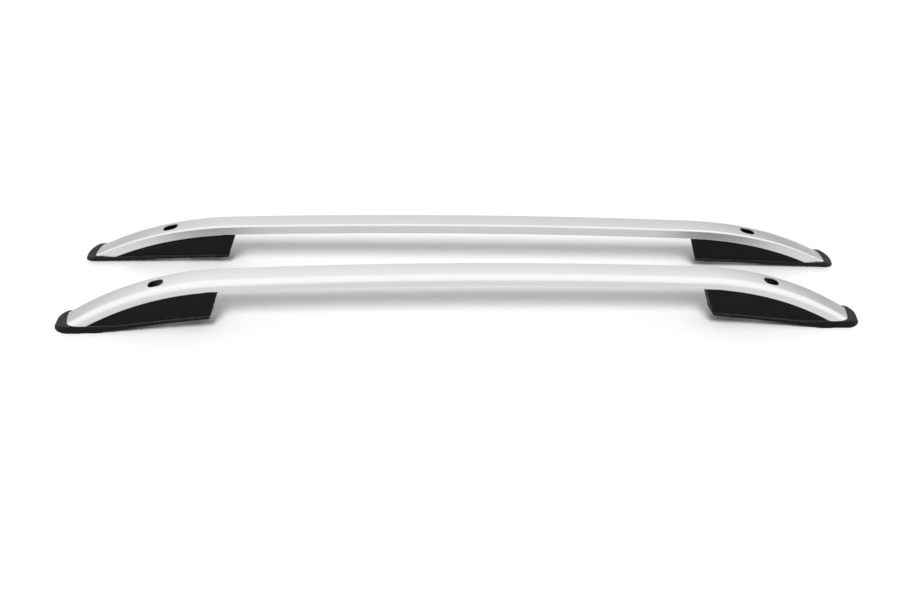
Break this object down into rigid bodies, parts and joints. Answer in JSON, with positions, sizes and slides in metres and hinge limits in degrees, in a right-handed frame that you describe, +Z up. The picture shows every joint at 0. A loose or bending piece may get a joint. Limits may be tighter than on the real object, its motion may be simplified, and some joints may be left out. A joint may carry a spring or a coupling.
{
  "type": "roof side rail pair",
  "caption": "Matching arched side rails for a car roof: hollow bent aluminium extrusions that come down onto black moulded feet, rubber base pads and inner roof brackets.",
  "frame": {"origin": "middle of the pair, on the floor that the outer ends of the base pads stand on", "axes": "+X along the rails to the front (right in the picture), +Y from the near rail to the far rail, +Z up"},
  "size_m": [1.735, 0.303, 0.1271],
  "materials": {
    "satin_aluminium": "satin anodised",
    "black_plastic": "fine grained",
    "black_rubber": "grained",
    "zinc_steel": "zinc plated"
  },
  "bodies": {
    "root": {"right_rail": "satin_aluminium", "right_front_foot": "black_plastic", "right_front_base_pad": "black_rubber", "right_front_foot_screws": "zinc_steel", "right_front_bracket": "zinc_steel", "right_front_clip_nut": "zinc_steel", "right_front_washer": "zinc_steel", "right_front_cap_screw": "zinc_steel", "right_rear_foot": "black_plastic", "right_rear_base_pad": "black_rubber", "right_rear_foot_screws": "zinc_steel", "right_rear_bracket": "zinc_steel", "right_rear_clip_nut": "zinc_steel", "right_rear_washer": "zinc_steel", "right_rear_cap_screw": "zinc_steel", "left_rail": "satin_aluminium", "left_front_foot": "black_plastic", "left_front_base_pad": "black_rubber", "left_front_foot_screws": "zinc_steel", "left_front_bracket": "zinc_steel", "left_front_clip_nut": "zinc_steel", "left_front_washer": "zinc_steel", "left_front_cap_screw": "zinc_steel", "left_rear_foot": "black_plastic", "left_rear_base_pad": "black_rubber", "left_rear_foot_screws": "zinc_steel", "left_rear_bracket": "zinc_steel", "left_rear_clip_nut": "zinc_steel", "left_rear_washer": "zinc_steel", "left_rear_cap_screw": "zinc_steel"}
  },
  "joints": []
}
